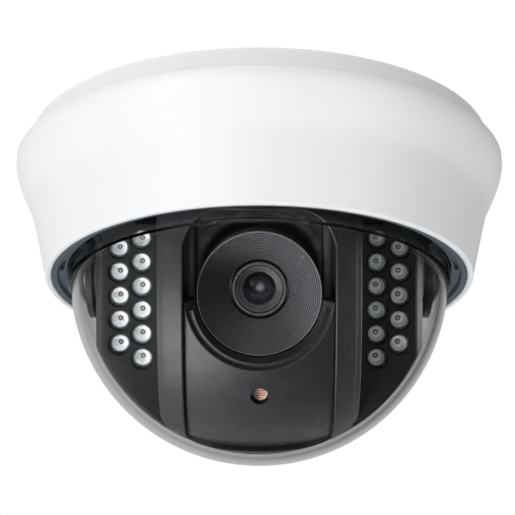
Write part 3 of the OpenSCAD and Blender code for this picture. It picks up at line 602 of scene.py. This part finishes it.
def side_skin():
    """Curved skin below an LED panel and beside it."""
    edge = level(BALL_R, SIDE)
    outline = rounded(
        [(STEP, level(SKIN_R, STEP))] + along(BALL_R, STEP, SIDE - 0.6, 24)
        + [(SIDE, edge, 0.6), (SIDE, 0), (SIDE - WALL, 0)]
        + along(SKIN_R, SIDE - WALL, STEP, 20)[:-1])
    bm = turned_across(outline)
    cut_away(bm, (0, 0, SIDE_FACE), (0, 0, 1))
    cut_away(bm, (0, SIDE_TOP - SIDE_ROUND, 0), (0, 1, 0))
    cut_away(bm, (0, 0, BACK), (0, 0, -1))
    chamfer(bm)
    return bm


def side_roof():
    """Roof over an LED panel, rounded down to the ball's flat side."""
    corner = (SIDE - SIDE_ROUND, SIDE_TOP - SIDE_ROUND)
    foot = corner[1] - 0.3
    outline = ([(STEP, SIDE_TOP)] + arc(corner, SIDE_ROUND, 90, 0, 12)
               + [(SIDE, foot), (SIDE - ROOF_T, foot)]
               + arc(corner, SIDE_ROUND - ROOF_T, 0, 90, 12) + [(STEP, SIDE_TOP - ROOF_T)])
    bm = bmesh.new()
    slab(bm, outline, BACK, SIDE_FACE)
    bmesh.ops.recalc_face_normals(bm, faces=bm.faces)
    chamfer(bm)
    return bm


def led_panel():
    """Flat panel with a hole for each LED."""
    corner = (SIDE - SIDE_ROUND, SIDE_TOP - SIDE_ROUND)
    turn = math.degrees(math.acos((PANEL_EDGE - corner[0]) / SIDE_ROUND))
    inner = MIDDLE - 0.4
    rim = [(x, -y) for x, y in along(level(BALL_R, PANEL), PANEL_EDGE, inner, 32)]
    bm = bmesh.new()
    slab(bm, [(inner, SIDE_TOP)] + arc(corner, SIDE_ROUND, 90, turn, 8) + rim,
         PANEL - PANEL_T, PANEL)
    bmesh.ops.recalc_face_normals(bm, faces=bm.faces)
    soften(bm, 0.35, 3, 25)
    under, over = PANEL - PANEL_T - 1, PANEL + 1
    wide = LED_HOLE + 0.3
    sink = [(0, under), (LED_HOLE, under), (LED_HOLE, PANEL - 0.3), (wide, PANEL + TUCK),
            (wide, over), (0, over)]
    drills = bmesh.new()
    for x, y in led_places():
        turned(drills, sink, Matrix.Translation((x, y, 0)), 48)
    return carve(bm, drills)


def bosses():
    """Screw bosses and the pivot's boss on the inside of the shroud."""
    bm = bmesh.new()
    for x, y in BRACKET_BOSSES:
        tube(bm, Matrix.Translation((x, y, 0)), bore=0.9, outside=2.4, start=12,
             end=level(SKIN_R, x, y) + 0.5)
    for x, y in BOARD_POSTS:
        tube(bm, Matrix.Translation((x, y, 0)), bore=0.8, outside=1.8, start=LED_FOOT, end=14.2)
    tube(bm, ABOUT_X, bore=2.02, outside=5, start=36.5, end=SIDE - 1.8, turns=48)
    return bm


def shroud_piece(name, bm, mirrored=False, look="black_abs"):
    return piece(name, bm, "ball", LOOKS[look], ["front_shroud"], BALL,
                 MIRROR if mirrored else UPRIGHT)


def make_shroud():
    """The shroud's pieces: the middle ones, both sides, and the pin that stops the tilt."""
    shroud_piece("shroud_top", top_plate())
    shroud_piece("shroud_window_head", window_head())
    shroud_piece("shroud_window_sill", window_sill())
    for side, mirrored in (("right", False), ("left", True)):
        for name, shape in (("rib", arch), ("rib_wall", rib_wall), ("skin", side_skin),
                            ("roof", side_roof), ("bosses", bosses)):
            shroud_piece(f"shroud_{name}_{side}", shape(), mirrored)
        # The LED panels take the darker copy of the shroud's black plastic, which is painted shade
        shroud_piece(f"shroud_panel_{side}", led_panel(), mirrored, "black_panel_painted_shade")
    pin = bmesh.new()
    bevel, foot, tip = 0.1, SIDE - 0.1, SIDE + STOP_LENGTH
    turned(pin, [(0, foot), (STOP_R, foot), (STOP_R, tip - bevel), (STOP_R - bevel, tip),
                 (0, tip)], Matrix.Translation((0, STOP_Y, 0)) @ ABOUT_X, 32)
    shroud_piece("tilt_stop_pin", pin)


# ---- ball: bib and light sensor ----------------------------------------------------------

BIB_R = 45.7
BIB_IN = 43.7
BIB_HALF = 18.2
BIB_TOP = -1.5
BIB_BOTTOM = -41.6
BIB_BACK = 14.2
SEAT_R, SEAT_Z = 15.6, 36  # inner edge of the bevel round the grooved ring
BEVEL_R, BEVEL_IN = 18.1, 19.2
FLANGE_OUT, FLANGE_IN = 44.4, 42.6
FLANGE_HALF = 22.2
STRUT_IN, STRUT_OUT = 15.8, 17.8
STRUT_BARS = ((-3.5, 19.5, 24, 33), (-5.5, -2.5, 24, 38))  # Y and Z, from and to
CELL_Y = -25
CELL_FACE = 35.5
CELL_R = 1.8
CELL_T = 3.8
CELL_OFFSET = 0.3  # the cell sits this far up and right of its hole's middle
CELL_HOLE = 2.25
CELL_AXIS = Matrix.Translation((0, CELL_Y, 0))
TRACK_WIDTH, TRACK_T = 0.2, 0.05


def trim_sides(bm, top, bottom, half):
    """Cuts a turned shape off above, below and at both sides."""
    cut_away(bm, (0, top, 0), (0, 1, 0))
    cut_away(bm, (0, bottom, 0), (0, -1, 0))
    cut_away(bm, (half, 0, 0), (1, 0, 0))
    cut_away(bm, (-half, 0, 0), (-1, 0, 0))


def bib_skin():
    """Curved cover below the lens, with a bevelled seat round the grooved ring."""
    outline = rounded(
        [(SEAT_R, SEAT_Z, 0.15), (BEVEL_R, level(BIB_R, BEVEL_R), 0.35)]
        + along(BIB_R, BEVEL_R + 0.6, 44.9, 30) + along(BIB_IN, 43, BEVEL_IN, 24)
        + [(BEVEL_IN, SEAT_Z)])
    bm = bmesh.new()
    turned(bm, outline, UPRIGHT, 288)
    bmesh.ops.recalc_face_normals(bm, faces=bm.faces)
    trim_sides(bm, BIB_TOP, BIB_BOTTOM, BIB_HALF)
    cut_away(bm, (0, 0, BIB_BACK), (0, 0, -1))
    soften(bm, 0.3, 2, 50)
    hole = bmesh.new()
    tube(hole, CELL_AXIS, bore=0, outside=CELL_HOLE, start=31, end=BALL_R, turns=64)
    return carve(bm, hole)


def bib_flange():
    """Flange behind the bib, wider than it, with holes for the lens ring and the cell."""
    bm = bmesh.new()
    turned(bm, along(FLANGE_OUT, 12, 44, 30) + along(FLANGE_IN, 42, 12, 30), UPRIGHT, 192)
    bmesh.ops.recalc_face_normals(bm, faces=bm.faces)
    trim_sides(bm, BIB_TOP - 2, BIB_BOTTOM + 3, FLANGE_HALF)
    holes = bmesh.new()
    tube(holes, UPRIGHT, bore=0, outside=16.5, start=30, end=60, turns=96)
    tube(holes, CELL_AXIS, bore=0, outside=CELL_HOLE, start=25, end=60, turns=48)
    return carve(bm, holes)


def bib_strut(sign):
    """Two joined bars beside the lens, on the side that sign says."""
    bm = bmesh.new()
    for y0, y1, z0, z1 in STRUT_BARS:
        outline = [(STRUT_IN, y0), (STRUT_OUT, y0), (STRUT_OUT, y1), (STRUT_IN, y1)]
        slab(bm, [(sign * x, y) for x, y in outline], z0, z1)
    bmesh.ops.recalc_face_normals(bm, faces=bm.faces)
    soften(bm, 0.25)
    return bm


def make_bib():
    for name, bm in (("bib", bib_skin()), ("bib_flange", bib_flange()),
                     ("bib_strut_right", bib_strut(1)), ("bib_strut_left", bib_strut(-1))):
        piece(name, bm, "ball", LOOKS["black_abs"], ["lens_bib"], BALL)


def serpentine(width, reach, rows):
    """Both edges of a ribbon that runs to and fro inside a circle."""
    circle, inset = reach + 0.25, 0.2
    spine = []
    for i in range(rows):
        y = reach * (2 * i / (rows - 1) - 1)
        half = max(level(circle, y) - inset, inset)
        ends = (-half, half) if i % 2 else (half, -half)
        spine += [(ends[0], y), (ends[1], y)]
    left, right = [], []
    for i, point in enumerate(spine):
        here = Vector(point)
        ahead = Vector(spine[min(i + 1, len(spine) - 1)]) - Vector(spine[max(i - 1, 0)])
        across = Vector((-ahead.y, ahead.x)).normalized() * width / 2
        if 0 < i < len(spine) - 1:
            across *= math.sqrt(2)
        left.append(tuple(here + across))
        right.append(tuple(here - across))
    return left, right


def make_photocell():
    """Cream cell with a raised red track on its face."""
    local = Matrix.Translation((CELL_OFFSET, CELL_Y + CELL_OFFSET, CELL_FACE))
    body = bmesh.new()
    turned(body, rounded([(0, -CELL_T), (CELL_R, -CELL_T), (CELL_R, 0, 0.25), (0, 0)]), UPRIGHT,
           64)
    piece("photocell_body", body, "ball", LOOKS["photocell_face"],
          ["photocell"], BALL, local)
    track = bmesh.new()
    left, right = serpentine(TRACK_WIDTH, 1.2, 5)
    low = [[track.verts.new((x, y, 0.0)) for x, y in side] for side in (left, right)]
    high = [[track.verts.new((x, y, TRACK_T)) for x, y in side] for side in (left, right)]
    for i in range(len(left) - 1):
        for layer in (low, high):
            track.faces.new((layer[0][i], layer[1][i], layer[1][i + 1], layer[0][i + 1]))
        for side in (0, 1):
            track.faces.new((low[side][i], low[side][i + 1], high[side][i + 1], high[side][i]))
    for i in (0, -1):
        track.faces.new((low[0][i], low[1][i], high[1][i], high[0][i]))
    piece("photocell_track", track, "ball", LOOKS["cell_track"], (), BALL,
          local)


# ---- LEDs --------------------------------------------------------------------------------

LED_FOOT = 8.6  # Z of the board's face that the LEDs stand on
LED_R = 2.5
LED_RIM_R, LED_RIM = 2.9, 1
LED_DOME = 6.1  # height of the dome's centre above the foot
FIRST_TURN, NEXT_TURN = 0.5, 0.9  # radians, so that no two neighbours sit alike


def led_body():
    """Clear 5 mm body with a rim at its foot and a round dome."""
    bm = bmesh.new()
    turned(bm, rounded([(0, 0), (LED_RIM_R, 0, 0.1), (LED_RIM_R, LED_RIM, 0.15),
                        (LED_R, LED_RIM)], 3)
           + arc((0, LED_DOME), LED_R, 0, 90, 14), UPRIGHT, 48)
    return bm


def led_frame():
    """The two legs inside an LED, one of which ends in the cup that holds the die."""
    bm = bmesh.new()
    turned(bm, [(0, 1.0), (0.6, 1.0), (0.75, 4.2), (1.08, 5.25), (1.0, 5.25), (0.62, 4.6),
                (0, 4.55)], UPRIGHT, 40)
    slab(bm, [(1.4, -0.45), (2.0, -0.45), (2.0, 0.45), (1.4, 0.45)], 0.6, 4.4)
    return bm


def led_die():
    """Dark ring of bonding resin round the die."""
    bm = bmesh.new()
    turned(bm, [(0.13, 4.58), (0.3, 4.58), (0.27, 4.72), (0.15, 4.72)], UPRIGHT, 32)
    return bm


def make_leds():
    """Both banks. The body alone stands for the CAD node, and frame and die are inside it."""
    for side, sign in (("right", 1), ("left", -1)):
        for number, (x, y) in enumerate(led_places()):
            turn = Matrix.Rotation(FIRST_TURN + NEXT_TURN * number, 4, "Z")
            local = Matrix.Translation((sign * x, y, LED_FOOT)) @ turn
            stands = [f"ir_leds_{side}"]
            for name, bm, look in (("body", led_body(), "led_epoxy"),
                                   ("frame", led_frame(), "led_silver"),
                                   ("die", led_die(), "led_die")):
                piece(f"led_{name}_{side}_{number}", bm, "ball", LOOKS[look],
                      stands, BALL, local)
                stands = ()


# ---- lens --------------------------------------------------------------------------------

GROOVES = 16
GROOVE_DEPTH = 0.42
GROOVE_SHAPE = ((0, 0), (0.35, 0), (0.55, 1), (0.8, 1))  # share of the pitch, of the depth
THROAT, RIM = (7.6, 27), (15.1, 36)
RING_OUT, RING_IN, RING_FOOT = 15.45, 14.35, 13.3


def make_trim_funnel():
    """Ring round the lens whose sloping face is cut by fine concentric grooves."""
    face = []
    for i in range(GROOVES):
        for share, drop in GROOVE_SHAPE:
            t = (i + share) / GROOVES
            face.append((THROAT[0] + (RIM[0] - THROAT[0]) * t,
                         THROAT[1] + (RIM[1] - THROAT[1]) * t - drop * GROOVE_DEPTH))
    outline = face + rounded(
        [(*RIM, 0.12), (RING_OUT, RIM[1], 0.12), (RING_OUT, RING_FOOT), (RING_IN, RING_FOOT),
         (RING_IN, 32.8), (THROAT[0], 25.6)], 3)
    lathe("lens_funnel", outline, "camera_module", LOOKS["black_ring"],
          ["lens_trim_ring"], BALL, 256, 25)


def make_lens():
    """Lens head, the cone in front of its glass, and the glass itself."""
    barrel = rounded(
        [(3.6, 9.5), (6, 9.5), (6, 22.2), (7.05, 22.2), (7.05, 27, 0.25), (6.1, 27, 0.1),
         (5.9, 26.4), (5.9, 25.2), (4.15, 25.2), (4.15, 22.6), (3.6, 22.6)], 3)
    lathe("lens_head", barrel, "lens", LOOKS["black_machined"],
          ["lens_barrel"], BALL, 192, 25)
    cone = rounded(
        [(4.16, 25.21), (5.89, 25.21), (5.89, 26.42, 0.1), (5.2, 26.2, 0.1), (5.1, 25.95),
         (4.35, 25.7, 0.1)], 3)
    lathe("lens_cone", cone, "lens", LOOKS["black_ring"], ["lens_barrel"],
          BALL, 192, 25)
    seat, edge, bulge, r = 22.6, 0.9, 1.5, 4.14
    ball = (r * r + bulge * bulge) / (2 * bulge)
    start = math.degrees(math.asin((ball - bulge) / ball))
    glass = [(0, seat), (r, seat)] + arc((0, seat + edge + bulge - ball), ball, start, 90, 20)
    lathe("front_glass", glass, "lens", LOOKS["lens_glass"], ["front_element"],
          BALL, 128, 30)


# ---- stage -------------------------------------------------------------------------------


def make_camera():
    """A long lens below the camera, looking up at it."""
    distance, below, aim = 0.56594, math.radians(20.3434), -0.03225
    data = bpy.data.cameras.new("camera")
    data.sensor_width = 36
    data.lens = 148.47
    data.shift_x = -0.0034951456  # share of the picture's width
    data.clip_start, data.clip_end = 0.01, 20
    camera = bpy.data.objects.new("camera", data)
    back = Vector((0, -math.cos(below), -math.sin(below)))
    camera.location = Vector((0, 0, aim)) + back * distance
    camera.rotation_mode = "QUATERNION"
    camera.rotation_quaternion = (-back).to_track_quat("-Z", "Y")
    bpy.context.scene.collection.objects.link(camera)
    bpy.context.scene.camera = camera


def make_floor():
    """Pale floor far below, for the views that look down."""
    data = bpy.data.meshes.new("floor")
    size, depth = 4, -1.2
    corners = [(x * size, y * size, depth) for x, y in ((-1, -1), (1, -1), (1, 1), (-1, 1))]
    data.from_pydata(corners, [], [(0, 1, 2, 3)])
    floor = bpy.data.objects.new("floor", data)
    bpy.context.scene.collection.objects.link(floor)
    data.materials.append(moulded("pale_floor", (0.86, 0.86, 0.86), 0.9, 0.01, 3, 0.01))
    floor.visible_glossy = False
    floor.visible_transmission = False


LAMP_AIM = Vector((0, 0, -0.04))
OWN_SURFACES = 3.5  # the dome's two surfaces are passed at most three times before they reflect


def lamp(name, place, size, power, skip):
    """Area lamp, aimed at the ball, that lights everything but the objects in skip."""
    data = bpy.data.lights.new(name, "AREA")
    data.size = size
    data.energy = power
    made = bpy.data.objects.new(name, data)
    made.location = place
    made.rotation_mode = "QUATERNION"
    made.rotation_quaternion = (LAMP_AIM - Vector(place)).to_track_quat("-Z", "Y")
    bpy.context.scene.collection.objects.link(made)
    unlit = bpy.data.collections.new(name + "_unlit")
    made.light_linking.receiver_collection = unlit
    for obj in skip:
        unlit.objects.link(obj)
    for entry in unlit.collection_objects:
        entry.light_linking.link_state = "EXCLUDE"


def gradient(tree, toward, low, high, dim, bright):
    """Strength of the sky that rises from dim to bright along a direction."""
    where = tree.nodes.new("ShaderNodeTexCoord")
    lean = tree.nodes.new("ShaderNodeVectorMath")
    lean.operation = "DOT_PRODUCT"
    lean.inputs[1].default_value = Vector(toward).normalized()
    ramp = tree.nodes.new("ShaderNodeMapRange")
    ramp.interpolation_type = "SMOOTHSTEP"
    for socket, value in (("From Min", low), ("From Max", high), ("To Min", dim),
                          ("To Max", bright)):
        ramp.inputs[socket].default_value = value
    tree.links.new(where.outputs["Generated"], lean.inputs[0])
    tree.links.new(lean.outputs["Value"], ramp.inputs["Value"])
    return ramp.outputs["Result"]


def choose(tree, factor, first, second):
    """The first value where factor is 0, the second where it is 1 or more."""
    mix = tree.nodes.new("ShaderNodeMix")
    tree.links.new(factor, mix.inputs["Factor"])
    tree.links.new(first, mix.inputs["A"])
    tree.links.new(second, mix.inputs["B"])
    return mix.outputs["Result"]


def arithmetic(tree, operation, first, second):
    """A Math node's result. The second value is a number or another node's output."""
    made = tree.nodes.new("ShaderNodeMath")
    made.operation = operation
    tree.links.new(first, made.inputs[0])
    if isinstance(second, float):
        made.inputs[1].default_value = second
    else:
        tree.links.new(second, made.inputs[1])
    return made.outputs["Value"]


def make_world():
    """White all round to look at, and a dark studio in front for the dome to reflect."""
    world = bpy.data.worlds.new("studio")
    bpy.context.scene.world = world
    world.use_nodes = True
    tree = world.node_tree
    back = tree.nodes["Background"]
    back.inputs["Color"].default_value = (1, 1, 1, 1)
    white = tree.nodes.new("ShaderNodeValue")
    white.outputs[0].default_value = 1.0
    reflected = gradient(tree, (-0.1, 0.94, 0.3), low=0.7, high=1.0, dim=0.02, bright=0.6)
    soft = gradient(tree, (-0.3, 0.9, 0.2), low=-0.45, high=0.6, dim=0.05, bright=1.0)
    depth = tree.nodes.new("ShaderNodeLightPath").outputs
    bounces = arithmetic(tree, "ADD", depth["Glossy Depth"], depth["Diffuse Depth"])
    near = arithmetic(tree, "LESS_THAN", depth["Transmission Depth"], OWN_SURFACES)
    on_dome = arithmetic(tree, "MULTIPLY", depth["Glossy Depth"], near)
    lit = choose(tree, on_dome, soft, reflected)
    tree.links.new(choose(tree, bounces, white.outputs[0], lit), back.inputs["Strength"])


def make_light():
    """The world and the lamps. All skip the bubble, and four skip the whole outside."""
    make_world()
    bubble = [bpy.data.objects["clear_bubble"]]
    outside = bubble + [bpy.data.objects["cover"], NODES["base_plate"], NODES["trim_ring"]]
    lamp("key", (-0.75, -1.2, 0.15), size=0.9, power=12, skip=bubble)
    lamp("inner_key", (-0.8, -0.95, -0.25), size=0.5, power=13, skip=outside)
    lamp("low_left", (-0.75, -0.3, -0.85), size=0.6, power=46, skip=outside)
    lamp("right", (0.9, 0.35, 0.0), size=0.5, power=20, skip=outside)
    lamp("below_camera", (-0.01, -0.8, -0.53), size=0.06, power=0.9, skip=outside)
    lamp("fill", (0.9, -0.9, -0.2), size=0.6, power=3, skip=bubble)
    bpy.context.scene.view_settings.view_transform = "Standard"


dress_cad_nodes()
make_cover()
make_bubble()
make_shroud()
make_bib()
make_photocell()
make_leds()
make_trim_funnel()
make_lens()
make_camera()
make_floor()
make_light()
